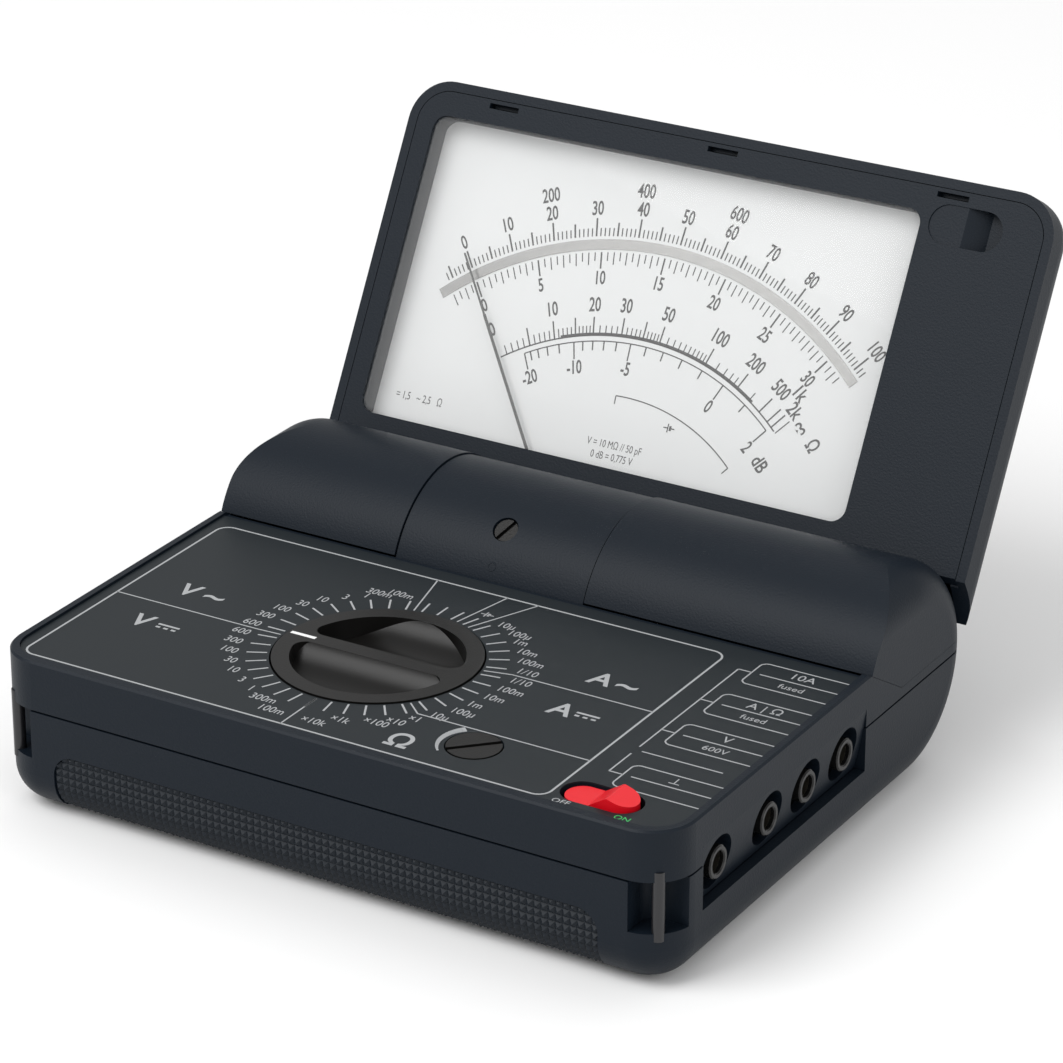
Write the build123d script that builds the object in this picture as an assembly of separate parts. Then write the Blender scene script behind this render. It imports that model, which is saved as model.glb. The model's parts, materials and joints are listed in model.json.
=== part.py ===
"""Folding-case analog multimeter.

The case frame used here has x across the case (0 in the middle), y from the front wall (0) to the
rear, and z up from the case bottom (0). The closed case is one soft-edged slab with a half-round
rear, and the lid turns about the centre of that half round. Parts of the lid are drawn closed and
then opened to the rest angle. save() moves everything to the origin: the middle of the footprint
at the height of the rubber feet.
"""
import os
from math import cos, pi, radians, sin

from build123d import *

# ---- driving dimensions (mm, degrees) -----------------------------------------------------------
WIDTH = 146.0
ROUND_R = 22.0            # half-round rear, and half the closed height
AXIS_Y = 96.0             # hinge axis, also the centre of the half round
AXIS_Z = 22.0
CLOSED_H = 2 * ROUND_R
CORNER_R = 9.0            # upright front corners
EDGE_R = 7.6              # soft edges of the closed case
WALL = 2.2
LID_OPEN = 119.4          # opening angle of the rest pose
PARTING_Z = 21.2          # between lower and upper case
PARTING_GAP = 0.4
RIM_Z = 31.5              # raised rim round the panel
PANEL_Z = 31.0            # face of the printed foil
FOIL_T = 0.3
PLATE_T = 2.4
RIM_SIDE = 1.7
RIM_FRONT = 2.3
LID_FACE_Z = 31.8         # closed lid face
SEAM_Z = 23.4             # lower edge of the hinge covers at the rear
SEAM_KNEE_Y = 88.5
SEAM_FRONT_Y = 75.0
SEAM_GAP = 0.05           # hinge covers are fixed, so their seam is tight

BARREL_X0 = -31.65        # turning middle of the hinge, part of the lid
BARREL_X1 = 10.75
BARREL_R = 21.7
BARREL_WALL = 2.0
BARREL_GAP = 0.3
NEST_R = 22.1             # hollow that the barrel turns in
LID_NEST_R = 22.35        # hollow of the lid round the fixed hinge covers
PIN_R = 5.0
PIN_CLEAR = 0.05
BUSH_R = 8.0
CHEEK_T = 1.85
MID_X = (BARREL_X0 + BARREL_X1) / 2

KNOB_X, KNOB_Y, KNOB_R = -10.2, 36.2, 20.0
KNOB_TOP = 31.25
KNOB_RIM = 3.4
KNOB_BAR = 3.6
SCOOP_DEPTH = 4.3
BALL_REACH = 18.8         # detent ball drawn back, just clear of the rotor
OHM_X, OHM_Y, OHM_R = 24.6, 14.0, 5.15
ROCK_X, ROCK_Y, ROCK_L, ROCK_W = 54.3, 8.7, 14.4, 6.6
ROCK_SLOT_L, ROCK_SLOT_W = 16.2, 8.0
ROCK_AXIS_Z = 27.2
POCKET_Y, POCKET_W = 9.0, 8.0   # hollow in the closed lid over the rocker

JACK_Y = (18.0, 37.0, 51.6, 66.3)
JACK_Z = 18.9
JACK_END_X = 72.7
JACK_TUBE_R = 3.2
JACK_BORE_R = 2.0
JACK_SLEEVE_R = 2.5
JACK_HOLE_R = 5.3
JACK_BACK_X = 46.0
RECESS_Y0, RECESS_Y1 = 11.8, 74.0
RECESS_Z0, RECESS_Z1 = 12.3, 25.0
APRON_X = 70.7            # foot of the inward-curving apron round the jacks
APRON_T = 1.7

NOTCH_X, NOTCH_Y, NOTCH_Z = 64.5, 7.2, 11.2
STRAP_X, STRAP_Y, STRAP_R = 69.2, 2.7, 1.2
GRIP_X0, GRIP_X1, GRIP_TOP, GRIP_UNDER, GRIP_T = -59.5, 58.5, 13.3, 9.0, 1.2
FOOT_H, FOOT_T, FOOT_R = 0.6, 1.4, 4.0

WINDOW_X0, WINDOW_X1 = -66.8, 45.0
WINDOW_Y0, WINDOW_Y1 = 7.2, 70.3
FRAME_GAP = 0.15
FRAME_RIM = 2.0
FRAME_T = 2.0
DIAL_DEPTH = 5.8          # from the lid face down to the dial
DIAL_T = 0.8
POINTER_DEPTH = 4.0
MIRROR_R, MIRROR_W, MIRROR_HALF = 71.4, 2.1, 41.9
POINTER_LEN = 76.0
POINTER_ZERO = 35.1       # pointer at zero, degrees left of the middle
POINTER_STEP_R = 24.0     # the needle steps down inside the dial's lower edge
STAFF_TOP = 16.4

BOARD_Z0, BOARD_Z1 = 20.4, 22.0
CASE_SCREWS = ((-62.0, 14.0), (39.0, 14.0), (-62.0, 70.0), (39.0, 66.0))
LID_SCREWS = ((60.0, 21.0), (-60.0, 73.8), (60.0, 73.8))
DOOR_X0, DOOR_X1, DOOR_Y0, DOOR_Y1, DOOR_T = -66.0, 30.0, 31.5, 64.5, 2.0
CELL_R, CELL_L, CELL_Y = 7.15, 50.0, (40.3, 55.7)
CELL_X0, CELL_Z = -63.5, 11.0
FUSES = (("fuse_small", 3.1, 32.0, 39.5), ("fuse_large", 5.0, 35.0, 54.5))
FUSE_X0 = -8.0

LID_MID_Y = AXIS_Y - (AXIS_Y - EDGE_R) * cos(radians(LID_OPEN))
REAR_Y = LID_MID_Y + (ROUND_R - EDGE_R) * sin(radians(LID_OPEN)) + EDGE_R
ORIGIN = Pos(0, -REAR_Y / 2, FOOT_H)

parts = {}


# ---- shared shapes ------------------------------------------------------------------------------
def slab(x0, x1, y0, y1, z0, z1):
    """Box between two corners."""
    return Pos((x0 + x1) / 2, (y0 + y1) / 2, (z0 + z1) / 2) * Box(x1 - x0, y1 - y0, z1 - z0)


def disc(x, y, r, z0, z1):
    """Upright cylinder."""
    return Pos(x, y, (z0 + z1) / 2) * Cylinder(r, z1 - z0)


def rod(x0, x1, y, z, r):
    """Cylinder lying along x."""
    return Pos((x0 + x1) / 2, y, z) * Rot(0, 90, 0) * Cylinder(r, x1 - x0)


def round_slab(x0, x1, y0, y1, z0, z1, r):
    """Box with rounded upright corners."""
    outline = RectangleRounded(x1 - x0, y1 - y0, r)
    return Pos((x0 + x1) / 2, (y0 + y1) / 2, z0) * extrude(outline, z1 - z0)


def side_prism(points, x0, x1):
    """Prism along x from (y, z) points."""
    face = make_face(Polyline(*[(x0, y, z) for y, z in points], close=True))
    return extrude(face, x1 - x0, dir=(1, 0, 0))


def front_prism(points, y0, y1):
    """Prism along y from (x, z) points."""
    face = make_face(Polyline(*[(x, y0, z) for x, z in points], close=True))
    return extrude(face, y1 - y0, dir=(0, 1, 0))


def pebble(inset):
    """The closed case, shrunk by inset on every side."""
    r = ROUND_R - inset
    length = AXIS_Y - inset
    section = Pos(inset + length / 2, AXIS_Z) * Rectangle(length, 2 * r) + Pos(AXIS_Y, AXIS_Z) * Circle(r)
    body = extrude(Plane.YZ * section, WIDTH / 2 - inset, both=True)
    body = fillet(body.edges().filter_by(Axis.Z), CORNER_R - inset)
    soft = [e for e in body.edges().filter_by(Axis.Z, reverse=True)
            if not (abs(e.tangent_at(0).X) > 0.99 and e.center().Y > AXIS_Y - 1)]
    return fillet(soft, EDGE_R - inset)


def group(shapes):
    """Several separate pieces that share one node."""
    return Compound([solid for shape in shapes for solid in shape.solids()])


def hinge_rod(x0, x1, r):
    """Cylinder about the hinge axis."""
    return rod(x0, x1, AXIS_Y, AXIS_Z, r)


def opened(shape):
    """A lid part, drawn closed, turned to the rest pose."""
    return Pos(0, AXIS_Y, AXIS_Z) * Rot(-LID_OPEN, 0, 0) * Pos(0, -AXIS_Y, -AXIS_Z) * shape


def save(name, shape, lid=False):
    """Place one sub-part and keep it under its node name."""
    parts[name] = ORIGIN * (opened(shape) if lid else shape)


OUTER = pebble(0)
INNER = pebble(WALL)
HALF = WIDTH / 2
FAR = 200.0


def band(z0, z1):
    """Everything between two heights."""
    return slab(-FAR, FAR, -FAR, FAR, z0, z1)


def above_seam(gap):
    """Room of the hinge covers: behind the panel and above their slanted seam."""
    points = [(SEAM_FRONT_Y + gap, RIM_Z + gap), (SEAM_KNEE_Y + gap, SEAM_Z + gap),
              (FAR, SEAM_Z + gap), (FAR, FAR), (SEAM_FRONT_Y - 5, FAR), (SEAM_FRONT_Y - 5, RIM_Z + gap)]
    return side_prism(points, -FAR, FAR)


# ---- base: case --------------------------------------------------------------------------------
def cheeks(r):
    """The two walls beside the barrel that carry the hinge bushes."""
    left = hinge_rod(BARREL_X0 - BARREL_GAP - CHEEK_T, BARREL_X0 - BARREL_GAP, r)
    right = hinge_rod(BARREL_X1 + BARREL_GAP, BARREL_X1 + BARREL_GAP + CHEEK_T, r)
    return left + right - hinge_rod(-FAR, FAR, BUSH_R)


def barrel_room():
    """Space that the barrel sweeps, opened to the rear and below."""
    x0, x1 = BARREL_X0 - BARREL_GAP, BARREL_X1 + BARREL_GAP
    return hinge_rod(x0, x1, NEST_R) + slab(x0, x1, SEAM_KNEE_Y, FAR, -1, SEAM_Z + 2)


def strap_corner(side):
    """Block of one front corner that holds a strap bar, and the notch in it."""
    block = slab(NOTCH_X - 2, HALF, 0, NOTCH_Y + 2, NOTCH_Z - 2, PARTING_Z - PARTING_GAP / 2)
    notch = round_slab(NOTCH_X, HALF + 10, -10, NOTCH_Y, NOTCH_Z, PARTING_Z + 2, 3)
    return mirror(block, Plane.YZ) if side < 0 else block, mirror(notch, Plane.YZ) if side < 0 else notch


def grip_zone():
    """Front patch that the grip strip fills, wrapped round the bottom edge."""
    front = round_slab(GRIP_X0, GRIP_X1, -GRIP_TOP, GRIP_TOP, -1, GRIP_UNDER, 4.5)
    return Rot(90, 0, 0) * Pos(0, 0, -GRIP_UNDER) * front


def make_lower_case():
    top = PARTING_Z - PARTING_GAP / 2
    case = (OUTER - INNER) & band(-1, top)
    tongue = (pebble(WALL - 0.9) - INNER) & band(top - 1, top + 1.4)
    case += tongue - above_seam(-1)
    wrap = hinge_rod(BARREL_X0 - BARREL_GAP - CHEEK_T, BARREL_X1 + BARREL_GAP + CHEEK_T, NEST_R + 1.8)
    case += wrap & OUTER & slab(-FAR, FAR, 0, SEAM_KNEE_Y, -1, top)
    case += cheeks(ROUND_R) & OUTER & band(-1, top)
    reach = BARREL_GAP + CHEEK_T + 1.0
    case -= barrel_room() + hinge_rod(BARREL_X0 - reach, BARREL_X1 + reach, BUSH_R)
    for x, y in CASE_SCREWS:
        case += disc(x, y, 3.75, 1.0, BOARD_Z0)
    for side in (-1, 1):
        block, notch = strap_corner(side)
        case += block & OUTER
        case -= notch
        case -= disc(side * STRAP_X, STRAP_Y, STRAP_R, NOTCH_Z - 1.5, NOTCH_Z + 1)
    frame = slab(DOOR_X0 - 2, DOOR_X1 + 2, DOOR_Y0 - 2, DOOR_Y1 + 2, 1.0, DOOR_T + 2.5)
    case += frame - slab(DOOR_X0 + 2, DOOR_X1 - 2, DOOR_Y0 + 2, DOOR_Y1 - 2, 0, 10)
    case -= round_slab(DOOR_X0, DOOR_X1, DOOR_Y0, DOOR_Y1, -1, DOOR_T + 0.3, 2)
    case -= slab(DOOR_X0 + 2, DOOR_X1 - 2, DOOR_Y0 + 2, DOOR_Y1 - 2, -1, 10)
    for x, y in CASE_SCREWS:
        case -= disc(x, y, 1.6, -1, 30)
        case -= disc(x, y, 2.9, -1, 3.2)
    case -= slab(JACK_BACK_X, HALF + 1, RECESS_Y0, RECESS_Y1, RECESS_Z0 - 0.1, 40)
    case -= grip_zone() - pebble(GRIP_T)
    for x, y in FOOT_XY:
        case -= disc(x, y, FOOT_R, -1, FOOT_T - FOOT_H)
    save("lower_case", case)


FOOT_XY = [(x, y) for y in (22.0, 92.0) for x in (-58.0, 58.0)]


def make_feet():
    foot = disc(0, 0, FOOT_R, -FOOT_H, FOOT_T - FOOT_H)
    foot = chamfer(foot.edges().group_by(Axis.Z)[0], 0.3)
    save("rubber_feet", group([Pos(x, y) * foot for x, y in FOOT_XY]))


def make_grip():
    strip = (OUTER - pebble(GRIP_T)) & grip_zone()
    save("front_grip", strip)


def apron():
    """Inward-curving skirt of the upper case that the jacks look out of."""
    y0, y1 = RECESS_Y0 + 0.1, RECESS_Y1 - 0.1
    foot_z = RECESS_Z0
    outer = ThreePointArc((HALF, y0, RECESS_Z1), (HALF - 0.75, y0, JACK_Z + 0.6), (APRON_X, y0, foot_z))
    inner = Polyline((APRON_X, y0, foot_z), (APRON_X - APRON_T, y0, foot_z),
                     (APRON_X - APRON_T, y0, RECESS_Z1), (HALF, y0, RECESS_Z1))
    skirt = extrude(make_face(outer + inner), y1 - y0, dir=(0, 1, 0))
    for y in JACK_Y:
        skirt -= rod(HALF - 10, HALF + 5, y, JACK_Z, JACK_HOLE_R)
    return skirt


def rocker_outline(length, width, z0, z1):
    return Pos(ROCK_X, ROCK_Y, z0) * extrude(SlotOverall(length, width), z1 - z0)


def make_upper_case():
    bottom = PARTING_Z + PARTING_GAP / 2
    case = (OUTER - INNER) & band(bottom, RIM_Z)
    case -= pebble(WALL - 1.0) & band(bottom - 1, bottom + 1.3)
    case += (OUTER & band(PANEL_Z - FOIL_T - PLATE_T, RIM_Z)) - hinge_rod(-FAR, FAR, NEST_R)
    case -= above_seam(0) + barrel_room() + slab(-HALF + WALL, HALF - WALL, SEAM_FRONT_Y + 5, 105, 0, 40)
    x, y = HALF - RIM_SIDE, SEAM_FRONT_Y + 10
    case -= round_slab(-x, x, RIM_FRONT, y, PANEL_Z - FOIL_T, RIM_Z + 1, CORNER_R - RIM_FRONT)
    rim = [e for e in case.edges().group_by(Axis.Z)[-1] if e.center().Y < RIM_FRONT / 2
           or abs(e.center().X) > HALF - RIM_SIDE / 2]
    case = chamfer(rim, 0.4)
    for x, y in CASE_SCREWS:
        case += disc(x, y, 3.6, BOARD_Z1, PANEL_Z - FOIL_T - 1) - disc(x, y, 1.5, 0, PANEL_Z - FOIL_T - 2)
    case -= slab(APRON_X - APRON_T, HALF + 1, RECESS_Y0, RECESS_Y1, RECESS_Z0, RECESS_Z1)
    case += apron()
    case -= disc(KNOB_X, KNOB_Y, KNOB_R + 0.35, 20, 40)
    case -= disc(OHM_X, OHM_Y, OHM_R + 0.3, 20, 40)
    case -= rocker_outline(ROCK_SLOT_L, ROCK_SLOT_W, 20, 40)
    for side in (-1, 1):
        case += disc(side * STRAP_X * 0.995, STRAP_Y + 0.6, 2.4, bottom + 0.1, bottom + 5) & OUTER
        case -= disc(side * STRAP_X, STRAP_Y, STRAP_R, bottom - 1, bottom + 2)
    save("upper_case", case)


def make_foil():
    x = HALF - RIM_SIDE - 0.1
    z0, z1 = PANEL_Z - FOIL_T, PANEL_Z
    foil = round_slab(-x, x, RIM_FRONT + 0.1, SEAM_FRONT_Y + 10, z0, z1, CORNER_R - RIM_FRONT)
    foil -= slab(-FAR, FAR, SEAM_FRONT_Y - 0.6, FAR, 0, 50)
    foil -= disc(KNOB_X, KNOB_Y, KNOB_R + 0.35, 20, 40)
    foil -= disc(OHM_X, OHM_Y, OHM_R + 0.3, 20, 40)
    foil -= rocker_outline(ROCK_SLOT_L, ROCK_SLOT_W, 20, 40)
    save("panel_foil", foil)


def make_hinge_covers():
    for name, x0, x1 in (("hinge_cover_left", -HALF, BARREL_X0 - BARREL_GAP),
                         ("hinge_cover_right", BARREL_X1 + BARREL_GAP, HALF)):
        room = above_seam(SEAM_GAP) & slab(x0, x1, 0, FAR, 0, FAR)
        skin = (hinge_rod(-HALF, HALF, ROUND_R) & OUTER) - (hinge_rod(-HALF, HALF, ROUND_R - WALL) & INNER)
        cover = (skin & room) + (cheeks(ROUND_R) & OUTER & room)
        save(name, cover)


def make_hinge_hardware():
    for name, inner_x, way in (("left", BARREL_X0, -1), ("right", BARREL_X1, 1)):
        x0 = inner_x + way * BARREL_GAP
        x1 = x0 + way * CHEEK_T
        bush = hinge_rod(min(x0, x1), max(x0, x1), BUSH_R) - hinge_rod(-FAR, FAR, PIN_R + PIN_CLEAR)
        save(f"hinge_bush_{name}", bush)
        a, b = inner_x - way * 4.0, x1 + way * 1.2
        pin = hinge_rod(min(a, b), max(a, b), PIN_R)
        flange = hinge_rod(min(a, a + way * 2), max(a, a + way * 2), PIN_R + 2)
        save(f"hinge_pin_{name}", pin + flange - hinge_rod(-FAR, FAR, 3.0), lid=True)


def make_strap_bars():
    for name, side in (("left", -1), ("right", 1)):
        save(f"strap_bar_{name}", disc(side * STRAP_X, STRAP_Y, STRAP_R, NOTCH_Z - 1.5, PARTING_Z + 2.2))


def make_case_screws():
    screws = group([disc(x, y, 2.7, 0.9, 3.2) - slab(x - 3, x + 3, y - 0.4, y + 0.4, 0, 1.7)
                    + disc(x, y, 1.5, 3.2, 28.0) for x, y in CASE_SCREWS])
    save("case_screws", screws)


# ---- base: controls ----------------------------------------------------------------------------
def make_range_knob():
    top = KNOB_TOP
    knob = disc(KNOB_X, KNOB_Y, KNOB_R, 26.9, top)
    knob += disc(KNOB_X, KNOB_Y, KNOB_R + 1.4, 26.9, 27.8)
    inner_r = KNOB_R - KNOB_RIM
    half_chord = (inner_r - KNOB_BAR / 2) / 2
    scoop_r = (half_chord ** 2 + SCOOP_DEPTH ** 2) / (2 * SCOOP_DEPTH)
    for way in (-1, 1):
        y_mid = KNOB_Y + way * (KNOB_BAR / 2 + half_chord)
        bowl = rod(-60, 60, y_mid, top - SCOOP_DEPTH + scoop_r, scoop_r)
        half = disc(KNOB_X, KNOB_Y, inner_r, 20, 40)
        half -= slab(-60, 60, KNOB_Y - FAR * (way > 0) - KNOB_BAR / 2 * (way < 0),
                     KNOB_Y + FAR * (way < 0) + KNOB_BAR / 2 * (way > 0), 0, 60)
        half = fillet(half.edges().filter_by(Axis.Z), 2.5)
        knob -= bowl & half
    knob -= pointer_mark(top)
    knob += disc(KNOB_X, KNOB_Y, 4.0, BOARD_Z1 + 0.4, 27.0)
    knob += disc(KNOB_X, KNOB_Y, 2.4, BOARD_Z0 - 1.2, BOARD_Z1 + 1)
    save("range_knob", knob)
    save("knob_mark", pointer_mark(top))


def pointer_mark(top):
    """White inlay at the left end of the knob's bar."""
    x = KNOB_X - KNOB_R
    return slab(x + 0.6, x + 6.1, KNOB_Y - 0.45, KNOB_Y + 0.45, top - 0.3, top)


def make_switch():
    rotor = disc(KNOB_X, KNOB_Y, 17.0, 24.4, 26.0) - disc(KNOB_X, KNOB_Y, 4.0, 20, 30)
    teeth = [disc(KNOB_X + 17 * cos(2 * pi * k / 40), KNOB_Y + 17 * sin(2 * pi * k / 40), 0.8, 24, 27)
             for k in range(40)]
    save("switch_rotor", rotor - teeth)
    wipers = [Pos(KNOB_X, KNOB_Y) * Rot(0, 0, 120 * k) * slab(6, 14, -1.2, 1.2, 23.9, 24.4)
              + Pos(KNOB_X, KNOB_Y) * Rot(0, 0, 120 * k) * slab(12.5, 14, -1.2, 1.2, 22.3, 24.4)
              for k in range(3)]
    save("wiper_contacts", group(wipers))
    ball_x = KNOB_X + BALL_REACH
    save("detent_ball", Pos(ball_x, KNOB_Y, 25.2) * Sphere(1.5))
    block = slab(ball_x - 0.5, ball_x + 9.5, KNOB_Y - 3, KNOB_Y + 3, BOARD_Z1, 25.9)
    block -= rod(ball_x - 5, ball_x + 8, KNOB_Y, 25.2, 1.6) + slab(ball_x - 5, ball_x + 8, KNOB_Y - 1.6,
                                                                  KNOB_Y + 1.6, 25.2, 30)
    save("detent_block", block)


def make_ohm_adjust():
    body = slab(OHM_X - 5, OHM_X + 5, OHM_Y - 5, OHM_Y + 5, BOARD_Z1, 26.5)
    body -= disc(OHM_X, OHM_Y, 2.05, BOARD_Z1 - 1, 30)
    save("ohm_potentiometer", body)
    knob = disc(OHM_X, OHM_Y, OHM_R, 27.0, PANEL_Z + 0.1)
    knob += disc(OHM_X, OHM_Y, 2.0, BOARD_Z1 + 0.6, 27.5)
    slot = Pos(OHM_X, OHM_Y) * Rot(0, 0, 45) * slab(-10, 10, -0.5, 0.5, PANEL_Z - 0.7, 40)
    save("ohm_knob", knob - slot)


def make_rocker():
    """Red rocker, left half pressed flat and right half standing up as a wedge."""
    x0, x1 = ROCK_X - ROCK_L / 2, ROCK_X + ROCK_L / 2
    low, under = PANEL_Z - 0.5, ROCK_AXIS_Z + 1.2
    profile = [(x0, under), (x0, low), (ROCK_X - 1.2, low), (ROCK_X + 2.6, PANEL_Z + 1.9),
               (x1, PANEL_Z + 0.5), (x1, under)]
    cap = front_prism(profile, ROCK_Y - 5, ROCK_Y + 5) & rocker_outline(ROCK_L, ROCK_W, 20, 40)
    crest = [e for e in cap.edges().filter_by(Axis.Y) if e.center().Z > PANEL_Z + 1.5]
    cap = fillet(crest, 0.8)
    stem = slab(ROCK_X - 3, ROCK_X + 3, ROCK_Y - 2, ROCK_Y + 2, ROCK_AXIS_Z - 3, under + 0.5)
    axle = Pos(ROCK_X, ROCK_Y, ROCK_AXIS_Z) * Rot(90, 0, 0) * Cylinder(1.0, 5.6)
    save("power_rocker", cap + stem + axle)
    body = slab(ROCK_X - 8.2, ROCK_X + 8.2, ROCK_Y - 3.2, ROCK_Y + 3.2, 21.4, ROCK_AXIS_Z - 1)
    body += slab(ROCK_X - 1.8, ROCK_X + 1.8, ROCK_Y - 3.2, ROCK_Y + 3.2, 21.4, ROCK_AXIS_Z + 0.4)
    body -= slab(ROCK_X - 6, ROCK_X + 6, ROCK_Y - 2.35, ROCK_Y + 2.35, 22.4, 30)
    body -= Pos(ROCK_X, ROCK_Y, ROCK_AXIS_Z) * Rot(90, 0, 0) * Cylinder(1.05, 5.8)
    save("rocker_base", body)


# ---- base: jacks, board and power ----------------------------------------------------------------
def make_jacks():
    block = slab(JACK_BACK_X, APRON_X - APRON_T, RECESS_Y0 + 0.2, RECESS_Y1 - 0.4, RECESS_Z0, 25.0)
    for number, y in enumerate(JACK_Y, 1):
        block -= rod(JACK_BACK_X + 2, FAR, y, JACK_Z, JACK_HOLE_R)
        block -= rod(JACK_BACK_X - 1, FAR, y, JACK_Z, JACK_TUBE_R)
        tube = rod(JACK_BACK_X, JACK_END_X, y, JACK_Z, JACK_TUBE_R)
        mouth = Plane(origin=(JACK_END_X, y, JACK_Z), z_dir=(1, 0, 0))
        tube -= rod(JACK_BACK_X - 1, JACK_END_X - 1.0, y, JACK_Z, JACK_SLEEVE_R)
        tube -= rod(JACK_END_X - 1.5, FAR, y, JACK_Z, JACK_BORE_R + 0.1)
        tube = chamfer([e for e in tube.edges().filter_by(GeomType.CIRCLE)
                        if abs(e.center().X - mouth.origin.X) < 0.01], 0.25)
        save(f"jack_insulator_{number}", tube)
        sleeve = rod(JACK_BACK_X - 1.5, JACK_END_X - 1.0, y, JACK_Z, JACK_SLEEVE_R)
        sleeve -= rod(JACK_BACK_X + 1, FAR, y, JACK_Z, JACK_BORE_R)
        save(f"jack_contact_{number}", sleeve)
    save("jack_carrier", block)


def make_board():
    board = slab(-69.0, JACK_BACK_X - 1.8, 9.4, 70.5, BOARD_Z0, BOARD_Z1)
    board += slab(-60.0, 40.0, 5.0, 10.0, BOARD_Z0, BOARD_Z1)
    board += slab(40.0, 62.2, 4.0, 10.9, BOARD_Z0, BOARD_Z1 - 0.6)
    for x, y in CASE_SCREWS:
        board -= disc(x, y, 1.7, 0, 40)
    board -= disc(KNOB_X, KNOB_Y, 2.5, 0, 40)
    save("main_board", board)


def make_power():
    for number, y in enumerate(CELL_Y, 1):
        can = rod(CELL_X0, CELL_X0 + CELL_L - 1.6, y, CELL_Z, CELL_R)
        can = fillet(can.edges().filter_by(GeomType.CIRCLE), 0.8)
        tip = rod(CELL_X0 + CELL_L - 2, CELL_X0 + CELL_L, y, CELL_Z, 2.7)
        cell = can + tip
        if number == 2:
            cell = Pos(2 * CELL_X0 + CELL_L, 2 * y, 0) * Rot(0, 0, 180) * cell
        save(f"battery_{number}", cell)
    y0, y1 = CELL_Y[0] - 6.5, CELL_Y[1] + 6.5
    strips = [slab(x, x + 0.5, y0, y1, 5.0, BOARD_Z0) for x in (CELL_X0 - 0.5, CELL_X0 + CELL_L)]
    save("battery_contacts", group(strips))
    clips = []
    for name, r, length, y in FUSES:
        save(name, rod(FUSE_X0, FUSE_X0 + length, y, CELL_Z, r))
        for x in (FUSE_X0 + 2, FUSE_X0 + length - 7):
            clip = rod(x, x + 5, y, CELL_Z, r + 0.5) - rod(x - 1, x + 6, y, CELL_Z, r)
            clip -= slab(x - 1, x + 6, y - r * 0.7, y + r * 0.7, 0, CELL_Z)
            clips.append(clip + slab(x, x + 5, y - 1.5, y + 1.5, CELL_Z + r + 0.2, BOARD_Z0))
    save("fuse_clips", group(clips))


def make_battery_cover():
    gap = 0.3
    cover = round_slab(DOOR_X0 + gap, DOOR_X1 - gap, DOOR_Y0 + gap, DOOR_Y1 - gap, 0, DOOR_T, 1.7)
    grooves = [slab(DOOR_X0 + 6 + 2.4 * k, DOOR_X0 + 7.2 + 2.4 * k, DOOR_Y0 + 9, DOOR_Y1 - 9, -1, 0.5)
               for k in range(5)]
    x, y = DOOR_X1 - 6.0, (DOOR_Y0 + DOOR_Y1) / 2
    save("battery_cover", cover - grooves - disc(x, y, 2.5, -1, 1.2) - disc(x, y, 1.3, -1, 5))
    head = disc(x, y, 2.5, 0.2, 1.2) - slab(x - 3, x + 3, y - 0.35, y + 0.35, 0, 0.7)
    save("battery_cover_screw", head + disc(x, y, 1.3, 1.2, 3.6))


# ---- lid ---------------------------------------------------------------------------------------
def lid_slab(inset):
    """Closed lid above its face: flat back that dips to the hinge, hollowed round the covers."""
    tip = [(-1, LID_FACE_Z), (AXIS_Y, LID_FACE_Z), (AXIS_Y - 12.5, AXIS_Z + 18.4 - inset),
           (AXIS_Y - 19.5, CLOSED_H - inset), (-1, CLOSED_H - inset)]
    return pebble(inset) & side_prism(tip, -FAR, FAR)


def nest(extra):
    """Clearance of the lid round the hinge covers, and its contact with the barrel."""
    return (hinge_rod(-FAR, BARREL_X0, LID_NEST_R + extra) + hinge_rod(BARREL_X0, BARREL_X1, BARREL_R)
            + hinge_rod(BARREL_X1, FAR, LID_NEST_R + extra))


def frame_outline(inset, z0, z1):
    x = HALF - inset
    return round_slab(-x, x, inset, AXIS_Y + 30, z0, z1, CORNER_R - inset)


def make_lid_shell():
    shell = lid_slab(0) - nest(0)
    shell -= frame_outline(FRAME_RIM, LID_FACE_Z - 1, LID_FACE_Z + FRAME_T)
    room = lid_slab(WALL) & frame_outline(FRAME_RIM + 1.6, LID_FACE_Z, CLOSED_H - WALL)
    shell -= room
    for x, y in LID_SCREWS:
        post = disc(x, y, 2.6, LID_FACE_Z + FRAME_T, CLOSED_H - 1)
        shell += post - disc(x, y, 1.25, 0, CLOSED_H - 3)
    save("lid_shell", shell - throat(), lid=True)


def throat():
    """Passage between the lid and the barrel for the needle."""
    z0, z1 = LID_FACE_Z + FRAME_T + 0.4, AXIS_Z + STAFF_TOP + 1.2
    return slab(BARREL_X0 + 3.5, BARREL_X1 - 3.5, AXIS_Y - 24, AXIS_Y - 5, z0, z1)


def pocket_cut():
    """Oval hollow over the power rocker: a shallow pad, then a ramp into the deep end."""
    x0, x1 = ROCK_X - 7.6, ROCK_X + 8.1
    z = LID_FACE_Z
    profile = [(x0 - 1, z - 1), (x0 - 1, z + 0.25), (ROCK_X, z + 0.25), (ROCK_X + 4.1, z + 3.2),
               (x1 + 1, z + 3.2), (x1 + 1, z - 1)]
    oval = Pos((x0 + x1) / 2, POCKET_Y, z - 1) * extrude(SlotOverall(x1 - x0, POCKET_W), 6)
    return front_prism(profile, 4, 15) & oval


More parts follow.
